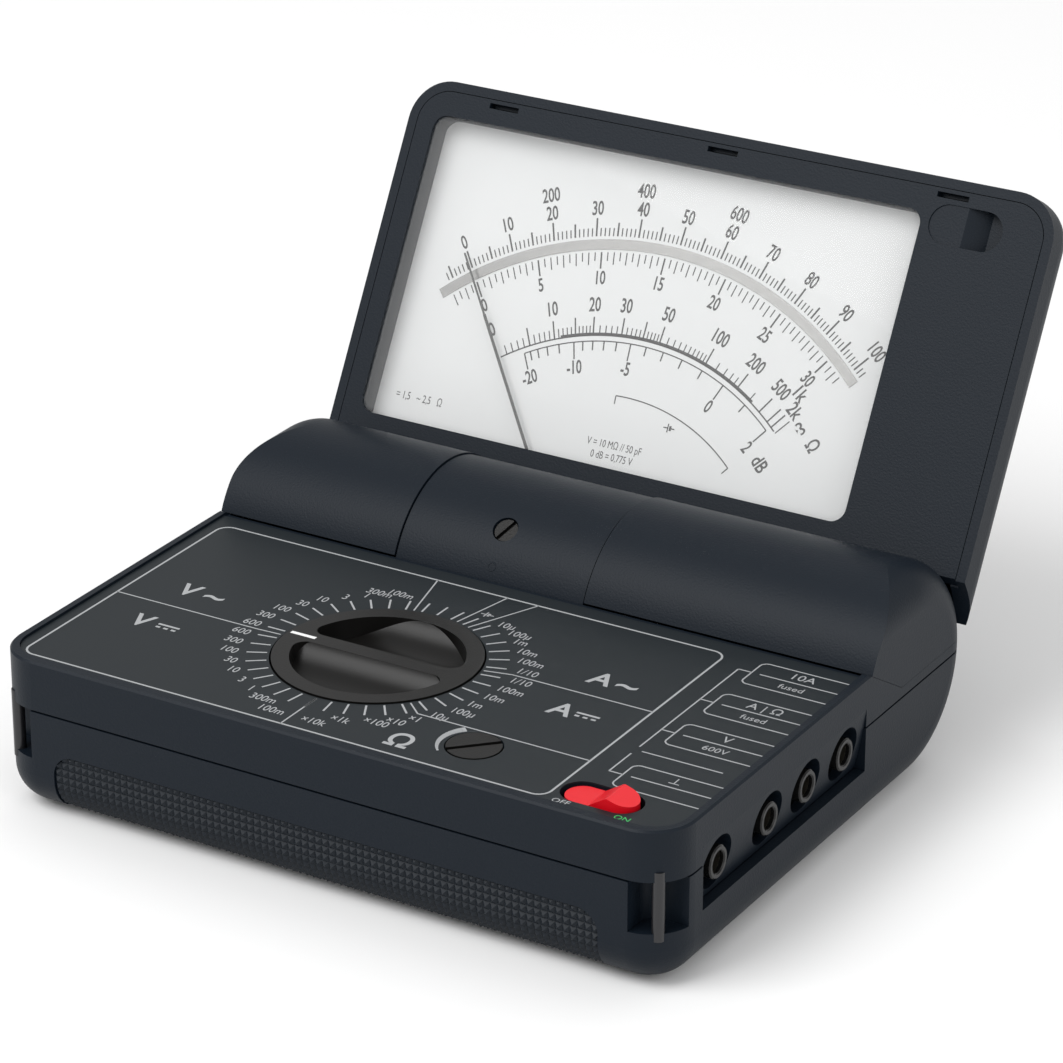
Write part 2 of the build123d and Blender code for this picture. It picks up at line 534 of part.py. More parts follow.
def make_lid_frame():
    z0, z1 = LID_FACE_Z, LID_FACE_Z + FRAME_T
    plate = frame_outline(FRAME_RIM + FRAME_GAP, z0, z1) - nest(0.3)
    plate &= slab(-FAR, FAR, 0, AXIS_Y - 5, z0, z1)
    plate -= round_slab(WINDOW_X0, WINDOW_X1, WINDOW_Y0, WINDOW_Y1, z0 - 1, z1 + 1, 3.0)
    walls = round_slab(WINDOW_X0 - 1.2, WINDOW_X1 + 1.2, WINDOW_Y0 - 1.2, WINDOW_Y1 + 0.6, z1,
                       LID_FACE_Z + DIAL_DEPTH, 4.0)
    walls -= round_slab(WINDOW_X0, WINDOW_X1, WINDOW_Y0, WINDOW_Y1 + 5, z1 - 1, 50, 3.0)
    plate += walls
    plate += Pos(ROCK_X + 0.25, POCKET_Y, z1) * extrude(SlotOverall(17.7, POCKET_W + 2), 2.4)
    plate -= pocket_cut()
    for x in (-51.6, -0.6, 50.4):
        plate -= slab(x - 3.4, x + 3.4, 2.9, 4.0, z0 - 1, z1 + 1)
    for x, y in LID_SCREWS:
        plate -= disc(x, y, 1.25, z0 + 1.0, z1 + 1)
    save("lid_frame", plate, lid=True)


def make_window():
    z0 = LID_FACE_Z
    pane = round_slab(WINDOW_X0 + 0.1, WINDOW_X1 - 0.1, WINDOW_Y0 + 0.1, WINDOW_Y1 - 0.1, z0, z0 + 2.0, 2.9)
    save("window", chamfer(pane.edges().group_by(Axis.Z)[0], 0.7), lid=True)


def make_dial():
    z0 = LID_FACE_Z + DIAL_DEPTH
    plate = slab(-68.0, 46.5, 5.6, 71.0, z0, z0 + DIAL_T)
    plate -= slab(MID_X - 20, MID_X + 20, 70.2, 75, z0 - 1, z0 + 2)
    save("dial_plate", plate, lid=True)
    r0, r1 = MIRROR_R - MIRROR_W / 2, MIRROR_R + MIRROR_W / 2
    reach = MIRROR_HALF
    outer = [(MID_X + r * sin(radians(a)), AXIS_Y - r * cos(radians(a)), z0 - 0.15)
             for r, a in ((r1, -reach), (r1, 0), (r1, reach), (r0, reach), (r0, 0), (r0, -reach))]
    edge = [ThreePointArc(*outer[:3]), Line(outer[2], outer[3]), ThreePointArc(*outer[3:]),
            Line(outer[5], outer[0])]
    save("mirror_strip", extrude(make_face(edge), 0.15, dir=(0, 0, 1)), lid=True)
    posts = [disc(x, y, 1.4, z0 + DIAL_T, CLOSED_H - WALL - 0.7) for x in (-66.0, 44.0) for y in (20.0, 60.0)]
    save("dial_screws", group(posts), lid=True)


def zero_frame():
    """Plane on the barrel where the zero adjuster looks out, its normal pointing outwards."""
    angle = radians(LID_OPEN + 90 + 38.4)
    out = (0, cos(angle), sin(angle))
    return Plane(origin=(MID_X, AXIS_Y, AXIS_Z), x_dir=(1, 0, 0), z_dir=out)


def make_barrel():
    shell = hinge_rod(BARREL_X0, BARREL_X1, BARREL_R)
    shell -= hinge_rod(BARREL_X0 + BARREL_WALL, BARREL_X1 - BARREL_WALL, BARREL_R - BARREL_WALL)
    shell -= hinge_rod(-FAR, FAR, PIN_R)
    save("barrel_body", (shell & band(AXIS_Z, FAR)) - throat(), lid=True)
    cover = shell & band(-FAR, AXIS_Z)
    cover -= zero_frame() * Pos(0, 0, BARREL_R) * Cylinder(2.65, 12)
    save("barrel_cover", cover, lid=True)


def make_zero_adjust():
    head = Pos(0, 0, BARREL_R - 1.6) * Cylinder(2.4, 2.2)
    head -= Pos(0, 0, BARREL_R - 0.5) * Rot(0, 0, 62) * Box(6, 0.8, 1.4)
    collar = Pos(0, 0, BARREL_R - 3.3) * Cylinder(3.3, 1.2)
    pin = Pos(1.2, 0, BARREL_R - 5.0) * Cylinder(0.6, 3.0)
    save("zero_adjust_screw", zero_frame() * (head + collar + pin), lid=True)


def make_movement():
    at = Pos(MID_X, AXIS_Y, AXIS_Z)
    ring = Cylinder(14.5, 14) - Cylinder(11.5, 15)
    save("movement_yoke", at * ring, lid=True)
    magnet = Cylinder(11.5, 12) - Cylinder(8.6, 13) - Box(7, 40, 14)
    save("movement_magnets", at * magnet, lid=True)
    save("movement_core", at * (Cylinder(6.0, 12) - Cylinder(1.2, 13)), lid=True)
    coil = Box(16.4, 3.0, 15.0) - Box(13.2, 4.0, 13.0)
    coil += slab(-2, 2, -1.5, 1.5, 7.5, 8.4) + slab(-2, 2, -1.5, 1.5, -8.4, -7.5)
    for z0, z1 in ((8.0, STAFF_TOP + 0.5), (-12.4, -8.0)):
        coil += disc(0, 0, 0.6, z0, z1)
    save("moving_coil", at * coil, lid=True)
    turns = [ring_band(r, 0.3) for r in (1.6, 2.6, 3.6)]
    spring = turns[0] + turns[1] + turns[2] + slab(0.62, 3.5, -0.25, 0.25, -0.15, 0.15)
    springs = [Pos(0, 0, z) * spring for z in (10.5, -10.2)]
    save("hairsprings", at * group(springs), lid=True)
    for name, way, reach in (("upper", 1, 14.4), ("lower", -1, MID_X - BARREL_X0 - BARREL_WALL)):
        z = sorted((way * 12.6, way * 13.8))
        bridge = slab(-reach, reach, -3, 3, *z)
        for x in (-13.1, 13.1):
            bridge += slab(x - 1.3, x + 1.3, -3, 3, *sorted((way * 7, way * 13)))
        save(f"bridge_{name}", at * (bridge - Cylinder(0.65, 60)), lid=True)


def ring_band(r, width):
    """Flat ring, one turn of a hairspring."""
    return Cylinder(r, 0.3) - Cylinder(r - width, 1)


def make_pointer():
    """Thin needle that steps down to the staff before the dial's lower edge."""
    plane_z = LID_FACE_Z + POINTER_DEPTH - AXIS_Z
    step = POINTER_STEP_R
    needle = slab(-0.28, 0.28, step, POINTER_LEN - 14, plane_z - 0.15, plane_z + 0.15)
    tip = slab(-0.14, 0.14, POINTER_LEN - 14, POINTER_LEN, plane_z - 0.3, plane_z + 0.15)
    ramp = slab(-0.28, 0.28, step, step + 0.5, plane_z - 0.15, STAFF_TOP + 0.15)
    arm = slab(-0.4, 0.4, -6, step + 0.5, STAFF_TOP - 0.15, STAFF_TOP + 0.15)
    weights = slab(-1.0, 1.0, -7.5, -5.0, STAFF_TOP - 0.6, STAFF_TOP + 0.6)
    hub = Pos(0, 0, STAFF_TOP) * Cylinder(1.4, 0.9) - Cylinder(0.6, 60)
    shape = needle + tip + ramp + arm + weights + hub - Cylinder(0.6, 60)
    turn = Pos(MID_X, AXIS_Y, AXIS_Z) * Rot(0, 0, 180 - POINTER_ZERO)
    save("pointer", turn * shape, lid=True)


def make_lid_screws():
    screws = [disc(x, y, 1.2, LID_FACE_Z + 1.1, CLOSED_H - 3.2) for x, y in LID_SCREWS]
    save("lid_screws", group(screws), lid=True)


def main():
    make_lower_case()
    make_feet()
    make_grip()
    make_upper_case()
    make_foil()
    make_hinge_covers()
    make_hinge_hardware()
    make_strap_bars()
    make_case_screws()
    make_range_knob()
    make_switch()
    make_ohm_adjust()
    make_rocker()
    make_jacks()
    make_board()
    make_power()
    make_battery_cover()
    make_lid_shell()
    make_lid_frame()
    make_window()
    make_dial()
    make_barrel()
    make_zero_adjust()
    make_movement()
    make_pointer()
    make_lid_screws()
    os.makedirs("parts", exist_ok=True)
    for name, shape in parts.items():
        export_step(shape, f"parts/{name}.step")


main()
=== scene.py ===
"""Looks of a folding-case analog multimeter: finishes, printed panel and dial, grip, light and view.

Each operator makes one piece or group of like pieces round the fixed frame. Sizes are in metres.
"""
import json
from math import atan2, cos, hypot, pi, radians, sin

import bmesh
import bpy
from mathutils import Matrix, Vector


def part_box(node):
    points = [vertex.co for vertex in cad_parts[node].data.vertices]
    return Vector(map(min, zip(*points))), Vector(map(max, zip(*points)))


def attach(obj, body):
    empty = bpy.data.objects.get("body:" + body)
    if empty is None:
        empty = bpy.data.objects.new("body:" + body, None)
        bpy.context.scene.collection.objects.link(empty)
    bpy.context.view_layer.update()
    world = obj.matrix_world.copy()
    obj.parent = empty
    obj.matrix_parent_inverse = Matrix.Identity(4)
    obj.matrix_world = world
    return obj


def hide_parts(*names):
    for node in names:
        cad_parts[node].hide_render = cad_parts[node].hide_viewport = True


bl_info = {
    "name": "Analog Multimeter",
    "version": (1, 0, 0),
    "blender": (4, 5, 0),
    "location": "View3D > Sidebar > Meter",
    "description": "Finishes and printed faces of a folding-case analog multimeter",
    "category": "Object",
}

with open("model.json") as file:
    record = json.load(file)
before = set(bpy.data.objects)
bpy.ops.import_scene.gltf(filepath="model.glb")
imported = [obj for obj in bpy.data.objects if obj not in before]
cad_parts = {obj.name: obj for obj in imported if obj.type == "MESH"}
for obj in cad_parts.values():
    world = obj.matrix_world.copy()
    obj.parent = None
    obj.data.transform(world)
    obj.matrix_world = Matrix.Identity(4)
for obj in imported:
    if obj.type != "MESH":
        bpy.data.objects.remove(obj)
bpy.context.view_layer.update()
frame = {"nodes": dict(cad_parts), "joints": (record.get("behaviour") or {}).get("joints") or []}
MM = 0.001

# ---- places taken from the frame ----------------------------------------------------------------
JOINTS = {joint["name"]: joint for joint in frame["joints"]}
PIVOT = Vector(JOINTS["pointer_swing"]["pos_m"])
DIAL_OUT = -Vector(JOINTS["pointer_swing"]["axis"]).normalized()
DIAL_UP = DIAL_OUT.cross(Vector((1, 0, 0))).normalized()
FRONT_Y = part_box("lower_case")[0].y
BOTTOM_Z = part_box("lower_case")[0].z
PANEL_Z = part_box("panel_foil")[1].z
KNOB_AT = Vector(JOINTS["range_switch_turn"]["pos_m"])
PRINT_LIFT = 0.01 * MM
PRINT_T = 0.03 * MM


def node_front(node, direction):
    """Distance of a node's outermost point along a direction."""
    return max(v.co.dot(direction) for v in frame["nodes"][node].data.vertices)


def placed(origin, right, up, out):
    """Matrix of a flat drawing: its own x, y and z along these directions."""
    rows = Matrix((right, up, out)).transposed().to_4x4()
    rows.translation = origin
    return rows


def dial_matrix():
    """Dial drawing: centre on the needle's pivot, y up the lid."""
    lift = node_front("dial_plate", DIAL_OUT) - PIVOT.dot(DIAL_OUT) + PRINT_LIFT
    return placed(PIVOT + DIAL_OUT * lift, Vector((1, 0, 0)), DIAL_UP, DIAL_OUT)


def panel_matrix():
    """Panel drawing: x from the middle of the case, y from its front wall."""
    origin = Vector((0, FRONT_Y, PANEL_Z + PRINT_LIFT))
    return placed(origin, Vector((1, 0, 0)), Vector((0, 1, 0)), Vector((0, 0, 1)))


# ---- user settings ------------------------------------------------------------------------------
class MeterLook(bpy.types.PropertyGroup):
    case_colour: bpy.props.FloatVectorProperty(
        name="Case", description="Colour of the case plastic", subtype="COLOR", size=3,
        default=(0.0050, 0.0088, 0.0145))
    foil_colour: bpy.props.FloatVectorProperty(
        name="Panel", description="Ground colour of the printed panel", subtype="COLOR", size=3,
        default=(0.0080, 0.0120, 0.0150))
    rocker_colour: bpy.props.FloatVectorProperty(
        name="Rocker", description="Colour of the power rocker", subtype="COLOR", size=3,
        default=(0.68, 0.004, 0.012))
    dial_colour: bpy.props.FloatVectorProperty(
        name="Dial", description="Ground colour of the dial", subtype="COLOR", size=3,
        default=(0.66, 0.67, 0.67))
    panel_letter: bpy.props.FloatProperty(
        name="Panel letters", description="Height of the range numbers", unit="LENGTH",
        default=2.1 * MM, min=1 * MM, max=4 * MM)
    dial_letter: bpy.props.FloatProperty(
        name="Dial letters", description="Height of the scale numbers", unit="LENGTH",
        default=2.8 * MM, min=1 * MM, max=4 * MM)
    grip_pitch: bpy.props.FloatProperty(
        name="Grip pitch", description="Spacing of the grip's small pyramids", unit="LENGTH",
        default=1.5 * MM, min=1 * MM, max=4 * MM)


class StudioLook(bpy.types.PropertyGroup):
    lens: bpy.props.FloatProperty(
        name="Lens", description="Focal length of the camera in mm", default=153.5, min=20, max=300)
    floor_size: bpy.props.FloatProperty(
        name="Floor", description="Width of the floor", unit="LENGTH", default=12.0, min=1, max=40)
    key_power: bpy.props.FloatProperty(
        name="Key light", description="Power of the main soft light in watts", default=11, min=1, max=500)


# ---- finishes -----------------------------------------------------------------------------------
# Finishes made here, by name: the frame has plain materials of its own under the same names.
FINISHES = {}
GRAIN_DETAIL = 2.0
GRAIN_STRENGTH = 0.5
PANE_ALPHA = 0.06


def finish(name, colour, rough, metal=0.0, spec=0.5):
    """Plain finish with its numbers on the shader's own sockets."""
    mat = bpy.data.materials.new(name)
    mat.use_nodes = True
    shader = mat.node_tree.nodes["Principled BSDF"]
    shader.inputs["Base Color"].default_value = (*colour[:3], 1)
    shader.inputs["Roughness"].default_value = rough
    shader.inputs["Metallic"].default_value = metal
    shader.inputs["Specular IOR Level"].default_value = spec
    FINISHES[name] = mat
    return mat


def grain(mat, scale, height):
    """Fine moulded texture on the object's own coordinates."""
    nodes, links = mat.node_tree.nodes, mat.node_tree.links
    where = nodes.new("ShaderNodeTexCoord")
    noise = nodes.new("ShaderNodeTexNoise")
    noise.inputs["Scale"].default_value = scale
    noise.inputs["Detail"].default_value = GRAIN_DETAIL
    bump = nodes.new("ShaderNodeBump")
    bump.inputs["Strength"].default_value = GRAIN_STRENGTH
    bump.inputs["Distance"].default_value = height
    links.new(where.outputs["Object"], noise.inputs["Vector"])
    links.new(noise.outputs["Fac"], bump.inputs["Height"])
    links.new(bump.outputs["Normal"], nodes["Principled BSDF"].inputs["Normal"])
    return mat


def clear_pane(name):
    """Clear plastic that lets light straight through and keeps its gloss."""
    mat = finish(name, (1, 1, 1), 0.02)
    mat.node_tree.nodes["Principled BSDF"].inputs["Alpha"].default_value = PANE_ALPHA
    return mat


def wear(node, mat):
    """Give a frame node one finish."""
    slots = frame["nodes"][node].data.materials
    slots.clear()
    slots.append(mat)


class METER_OT_finishes(bpy.types.Operator):
    """Give every sub-part of the frame its finish"""
    bl_idname = "meter.finishes"
    bl_label = "Finishes"

    def execute(self, context):
        look = context.scene.meter_look
        case = grain(finish("case_plastic", look.case_colour, 0.46, spec=0.17), 2400, 0.09 * MM)
        foil = grain(finish("panel_foil", look.foil_colour, 0.45, spec=0.24), 3500, 0.01 * MM)
        knob = grain(finish("knob_plastic", (0.0050, 0.0047, 0.0044), 0.3, spec=0.24), 2600, 0.03 * MM)
        jack = finish("jack_plastic", (0.006, 0.006, 0.006), 0.24, spec=0.3)
        inner = finish("inner_plastic", (0.55, 0.54, 0.5), 0.5)
        steel = finish("steel", (0.07, 0.07, 0.07), 0.4, metal=1.0)
        brass = finish("contact_brass", (0.12, 0.11, 0.09), 0.45, metal=1.0)
        iron = finish("movement_iron", (0.2, 0.2, 0.21), 0.5, metal=1.0)
        light_metal = finish("movement_metal", (0.7, 0.7, 0.72), 0.35, metal=1.0)
        rubber = finish("grip_rubber", (0.0070, 0.0105, 0.0155), 0.5, spec=0.24)
        worn = {
            case: ("lower_case", "upper_case", "hinge_cover_left", "hinge_cover_right", "lid_shell",
                   "lid_frame", "barrel_body", "barrel_cover", "battery_cover"),
            foil: ("panel_foil",),
            knob: ("range_knob", "ohm_knob", "zero_adjust_screw"),
            rubber: ("rubber_feet", "front_grip"),
            jack: ("jack_carrier", *(f"jack_insulator_{n}" for n in range(1, 5))),
            brass: ("wiper_contacts", "fuse_clips", *(f"jack_contact_{n}" for n in range(1, 5))),
            inner: ("hinge_bush_left", "hinge_bush_right", "switch_rotor", "detent_block",
                    "rocker_base", "ohm_potentiometer"),
            finish("bar_black", (0.012, 0.012, 0.014), 0.3): ("strap_bar_left", "strap_bar_right"),
            steel: ("case_screws", "lid_screws", "dial_screws", "battery_cover_screw",
                    "hinge_pin_left", "hinge_pin_right", "detent_ball", "battery_contacts"),
            iron: ("movement_yoke", "movement_magnets", "movement_core"),
            light_metal: ("bridge_upper", "bridge_lower", "hairsprings", "moving_coil"),
            finish("rocker_red", look.rocker_colour, 0.32, spec=0.35): ("power_rocker",),
            finish("white_mark", (0.8, 0.8, 0.8), 0.4): ("knob_mark",),
            finish("board_laminate", (0.02, 0.12, 0.05), 0.4): ("main_board",),
            finish("battery_wrap", (0.05, 0.05, 0.06), 0.3): ("battery_1", "battery_2"),
            finish("fuse_glass", (0.8, 0.82, 0.82), 0.1): ("fuse_small",),
            finish("fuse_ceramic", (0.7, 0.69, 0.66), 0.5): ("fuse_large",),
            finish("dial_white", look.dial_colour, 0.6, spec=0.2): ("dial_plate",),
            finish("mirror_face", (0.20, 0.20, 0.195), 0.3, metal=1.0): ("mirror_strip",),
            finish("pointer_black", (0.006, 0.006, 0.006), 0.4): ("pointer",),
            clear_pane("window_clear"): ("window",),
        }
        for mat, nodes in worn.items():
            for node in nodes:
                wear(node, mat)
        return {"FINISHED"}


# ---- drawing tools ------------------------------------------------------------------------------
CAPITAL = 0.682           # height of a capital over the size of its font
LETTER_STEPS = 3
ARC_STEP = 0.8 * MM       # rough length of one straight piece of a curved stroke


def clear_selection():
    if bpy.context.object and bpy.context.object.mode == "EDIT":
        bpy.ops.object.mode_set(mode="OBJECT")
    bpy.ops.object.select_all(action="DESELECT")


def select_only(objects):
    clear_selection()
    for obj in objects:
        obj.select_set(True)
    bpy.context.view_layer.objects.active = objects[0]


def label(text, x, y, height, angle=0.0, squeeze=1.0, weight=0.0):
    """One printed word, centred on (x, y), with its capitals this high."""
    bpy.ops.object.text_add(location=(x, y, 0), rotation=(0, 0, angle))
    word = bpy.context.object
    word.data.body = text
    word.data.align_x = "CENTER"
    word.data.align_y = "CENTER"
    word.data.size = height / CAPITAL
    word.data.offset = weight
    word.data.extrude = PRINT_T / 2
    word.data.resolution_u = LETTER_STEPS
    word.scale.x = squeeze
    return word


class Strokes:
    """A flat line drawing kept open in edit mode while strokes are added."""

    def __init__(self, name):
        clear_selection()
        bpy.ops.mesh.primitive_plane_add(size=1)
        self.obj = bpy.context.object
        self.obj.name = name
        bpy.ops.object.mode_set(mode="EDIT")
        bpy.ops.mesh.delete(type="VERT")

    def line(self, x0, y0, x1, y1, width):
        """Straight stroke between two points."""
        turn = atan2(y1 - y0, x1 - x0)
        bpy.ops.mesh.primitive_plane_add(size=1)
        bpy.ops.transform.resize(value=(hypot(x1 - x0, y1 - y0), width, 1), center_override=(0, 0, 0))
        bpy.ops.transform.rotate(value=-turn, orient_axis="Z", center_override=(0, 0, 0))
        bpy.ops.transform.translate(value=((x0 + x1) / 2, (y0 + y1) / 2, 0))

    def spoke(self, cx, cy, r0, r1, angle, width):
        """Stroke along a radius, its angle measured from +x."""
        self.line(cx + r0 * cos(angle), cy + r0 * sin(angle),
                  cx + r1 * cos(angle), cy + r1 * sin(angle), width)

    def arc(self, cx, cy, r, a0, a1, width):
        """Stroke round a centre from angle a0 to a1."""
        sweep = a1 - a0
        steps = max(3, int(abs(sweep) * r / ARC_STEP))
        half = sweep / steps / 2
        for step in range(steps):
            a = a0 + (2 * step + 1) * half
            reach = r / cos(half)
            self.line(cx + reach * cos(a - half), cy + reach * sin(a - half),
                      cx + reach * cos(a + half), cy + reach * sin(a + half), width)

    def done(self):
        """Close the drawing and give it the thickness of print."""
        bpy.ops.object.mode_set(mode="OBJECT")
        skin = self.obj.modifiers.new("print", "SOLIDIFY")
        skin.thickness = PRINT_T
        skin.offset = 0
        bpy.ops.object.modifier_apply(modifier=skin.name)
        return self.obj


def print_on(name, strokes, words, matrix, mat, body):
    """Join strokes and words into one printed piece and lay it on its face."""
    if words:
        select_only(words)
        bpy.ops.object.convert(target="MESH")
    parts = ([strokes] if strokes else []) + words
    select_only(parts)
    if len(parts) > 1:
        bpy.ops.object.join()
    piece = bpy.context.object
    bpy.ops.object.transform_apply(location=True, rotation=True, scale=True)
    piece.matrix_world = matrix
    bpy.ops.object.transform_apply(location=True, rotation=True, scale=True)
    piece.name = name
    piece.data.name = name
    piece.data.materials.clear()
    piece.data.materials.append(mat)
    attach(piece, body)
    return piece


# ---- printed panel ------------------------------------------------------------------------------
DIAL_RING = (20.8 * MM, 24.7 * MM)     # inner and outer end of the strokes round the knob
STEP = 9                               # degrees between two strokes
# Each row: angle of its first number, step to the next one, the numbers.
RANGES = (
    (180, -STEP, ("600", "300", "100", "30", "10", "3", "1", "300m", "100m")),
    (189, STEP, ("600", "300", "100", "30", "10", "3", "1", "300m", "100m")),
    (279, STEP, ("×10k", "×1k", "×100", "×10", "×1")),
    (324, STEP, ("10µ", "100µ", "1m", "10m", "100m", "1/10")),
    (18, STEP, ("1/10", "100m", "10m", "1m", "100µ", "10µ")),
)
LABEL_R = 26.3 * MM
BOTTOM = 270
LETTER_PITCH = 1.35 * MM
NEAR_BOTTOM, AT_BOTTOM = 20, 10        # degrees from straight down where numbers are staggered
STAGGER_FAR, STAGGER_NEAR = 2.9 * MM, 0.8 * MM
BORDER_W, RING_W, LINE_W = 0.42 * MM, 0.38 * MM, 0.3 * MM
SIGN_W, CELL_W = 0.55 * MM, 0.25 * MM
# Left, right, front and rear line of the border and its corner radius. The front line is set back
# far enough that the raised rim of the case does not hide it.
BORDER = (-68.57 * MM, 45.4 * MM, 3.6 * MM, 70.41 * MM, 2.7 * MM)
# Low, middle and high line of each box in mm, the word above its middle and the word below.
JACK_BOXES = ((61.3, 66.0, 70.7, "10A", "fused"), (46.8, 51.4, 55.9, "A | Ω", "fused"),
              (32.4, 37.0, 41.5, "V", "600V"), (13.6, 18.1, 22.6, "⊥", ""))


def knob_centre():
    return KNOB_AT.x, KNOB_AT.y - FRONT_Y


def draw_border(pen):
    """Rounded line round the ranges."""
    x0, x1, y0, y1, r = BORDER
    w = BORDER_W
    pen.line(x0 + r, y0, x1 - r, y0, w)
    pen.line(x0 + r, y1, x1 - r, y1, w)
    pen.line(x0, y0 + r, x0, y1 - r, w)
    pen.line(x1, y0 + r, x1, y1 - r, w)
    corners = ((x1 - r, y1 - r), (x0 + r, y1 - r), (x0 + r, y0 + r), (x1 - r, y0 + r))
    for quarter, (cx, cy) in enumerate(corners):
        pen.arc(cx, cy, r, quarter * pi / 2, (quarter + 1) * pi / 2, w)


def draw_ring(pen):
    """Strokes all round the knob, one at every step."""
    cx, cy = knob_centre()
    for k in range(360 // STEP):
        pen.spoke(cx, cy, *DIAL_RING, radians(k * STEP), RING_W)


def draw_separators(pen):
    """Lines that part the ranges, from the ring to the border."""
    cx, cy = knob_centre()
    x0, x1, y0, y1, _ = BORDER
    w = LINE_W
    r = DIAL_RING[0]
    for angle, bend, end in (
            (184.5, (-36, 34.3), (x0 / MM, 34.3)), (319.5, (9.0, 19.7), (x1 / MM, 19.7)),
            (13.5, (15.5, 42.3), (x1 / MM, 42.3)), (67.5, None, (4.3, y1 / MM)),
            (76.5, None, (-2.6, y1 / MM)), (103.5, None, (-18.4, y1 / MM)),
            (270, None, (cx / MM, y0 / MM))):
        a = radians(angle)
        x, y = cx + r * cos(a), cy + r * sin(a)
        for point in (bend, end):
            if point:
                pen.line(x, y, point[0] * MM, point[1] * MM, w)
                x, y = point[0] * MM, point[1] * MM


def draw_jack_boxes(pen):
    """Open boxes beside the jacks, with the line that joins them."""
    left, right, r, bus = 53.0 * MM, 71.0 * MM, 1.5 * MM, 50.2 * MM
    word_gap = 1.7 * MM
    upper_bus, lower_bus = (29 * MM, 66 * MM), (18.1 * MM, 26 * MM)
    parting_x, parting_y = (51.5 * MM, 68 * MM), 27.6 * MM
    w = LINE_W
    for low, middle, high, _, _ in JACK_BOXES:
        low, middle, high = low * MM, middle * MM, high * MM
        pen.line(left + r, low, right, low, w)
        pen.line(left + r, high, right, high, w)
        pen.line(left, low + r, left, high - r, w)
        pen.arc(left + r, high - r, r, pi / 2, pi, w)
        pen.arc(left + r, low + r, r, pi, 3 * pi / 2, w)
        pen.line(left + word_gap, middle, right, middle, w)
        pen.line(bus, middle, left, middle, w)
    for y0, y1 in (upper_bus, lower_bus):
        pen.line(bus, y0, bus, y1, w)
    pen.line(parting_x[0], parting_y, parting_x[1], parting_y, w)


def draw_crescent(pen):
    """Curved wedge beside the ohm adjuster, thick at its top."""
    cx, cy, r = 24.7 * MM, 14.0 * MM, 6.8 * MM
    start, sweep, steps = 135, 90, 14
    thick, loss = 1.7, 1.4
    half = radians(3.6)
    for step in range(steps):
        a = radians(start + sweep * (step + 0.5) / steps)
        width = (thick - loss * step / steps) * MM
        pen.arc(cx, cy, r, a - half, a + half, width)


def draw_direct_sign(pen, x, y, half):
    """Line over three dashes: direct current."""
    w = SIGN_W
    pen.line(x - half, y + 0.6 * MM, x + half, y + 0.6 * MM, w)
    for k in (-1, 0, 1):
        pen.line(x + (k - 0.28) * half * 0.72, y - 0.6 * MM, x + (k + 0.28) * half * 0.72,
                 y - 0.6 * MM, w)


def draw_cell_sign(pen, x, y, size):
    """Long and short plate of a cell, with its leads."""
    w = CELL_W
    pen.line(x - size * 0.15, y - size * 0.5, x - size * 0.15, y + size * 0.5, w)
    pen.line(x + size * 0.15, y - size * 0.28, x + size * 0.15, y + size * 0.28, w * 2)
    pen.line(x - size * 0.7, y, x - size * 0.15, y, w)
    pen.line(x + size * 0.15, y, x + size * 0.7, y, w)


def range_words(height):
    """Range numbers: near end on the stroke's line, but centred and staggered at the bottom."""
    cx, cy = knob_centre()
    words = []
    for start, step, texts in RANGES:
        for k, text in enumerate(texts):
            angle = start + step * k
            a = radians(angle)
            from_bottom = abs(angle - BOTTOM)
            half = 0 if from_bottom < NEAR_BOTTOM else LETTER_PITCH * len(text) / 2
            r = LABEL_R
            if from_bottom <= NEAR_BOTTOM:
                r += STAGGER_FAR if from_bottom < AT_BOTTOM else STAGGER_NEAR
            x = cx + r * cos(a) + (half if cos(a) > 0 else -half)
            words.append(label(text, x, cy + r * sin(a), height, squeeze=0.82))
    return words


class METER_OT_panel_print(bpy.types.Operator):
    """Print the ranges, borders and jack boxes on the panel"""
    bl_idname = "meter.panel_print"
    bl_label = "Panel print"

    def execute(self, context):
        look = context.scene.meter_look
        pen = Strokes("panel_lines")
        draw_border(pen)
        draw_ring(pen)
        draw_separators(pen)
        draw_jack_boxes(pen)
        draw_crescent(pen)
        draw_direct_sign(pen, -51 * MM, 26 * MM, 2.4 * MM)
        draw_direct_sign(pen, 36 * MM, 34.5 * MM, 2.4 * MM)
        draw_cell_sign(pen, -2 * MM, 62 * MM, 2.0 * MM)
        lines = pen.done()
        words = range_words(look.panel_letter)
        bold = 0.12 * MM
        for text, x, y, height in (("V", -57, 41.7, 4.6), ("~", -51, 41.7, 5.2), ("V", -57, 26, 4.6),
                                   ("A", 30.7, 49, 4.6), ("~", 36.2, 49, 5.2), ("A", 30.7, 34.5, 4.6),
                                   ("Ω", 12.1, 8.7, 4.8)):
            words.append(label(text, x * MM, y * MM, height * MM, weight=bold))
        for low, middle, high, upper, under in JACK_BOXES:
            words.append(label(upper, 62.5 * MM, (middle + high) / 2 * MM, 2.2 * MM))
            if under:
                words.append(label(under, 62.5 * MM, (middle + low) / 2 * MM, 1.7 * MM))
        white = finish("panel_white", (0.34, 0.35, 0.36), 0.5)
        print_on("panel_print", lines, words, panel_matrix(), white, "base")
        for name, text, x, colour in (("panel_off", "OFF", 48.8, (0.36, 0.37, 0.38)),
                                      ("panel_on", "ON", 61.2, (0.03, 0.42, 0.10))):
            word = label(text, x * MM, 3.55 * MM, 1.4 * MM)
            print_on(name, None, [word], panel_matrix(), finish(name, colour, 0.5), "base")
        return {"FINISHED"}


# ---- printed dial -------------------------------------------------------------------------------
# Angles are in degrees from straight up, to the right; radii on the dial are in mm.
ZERO = -35.2              # the needle at zero
UNIT = 0.752              # one division of the upper scale
LOW_UNIT = 2.37           # one unit of the scale from 0 to 30
SWEEP = 75.2              # from zero to the upper scale's end
OHM_MID = 45              # ohms at half of the sweep
DB_FULL = 0.775           # part of the sweep at 0 dB
QUARTER = 90


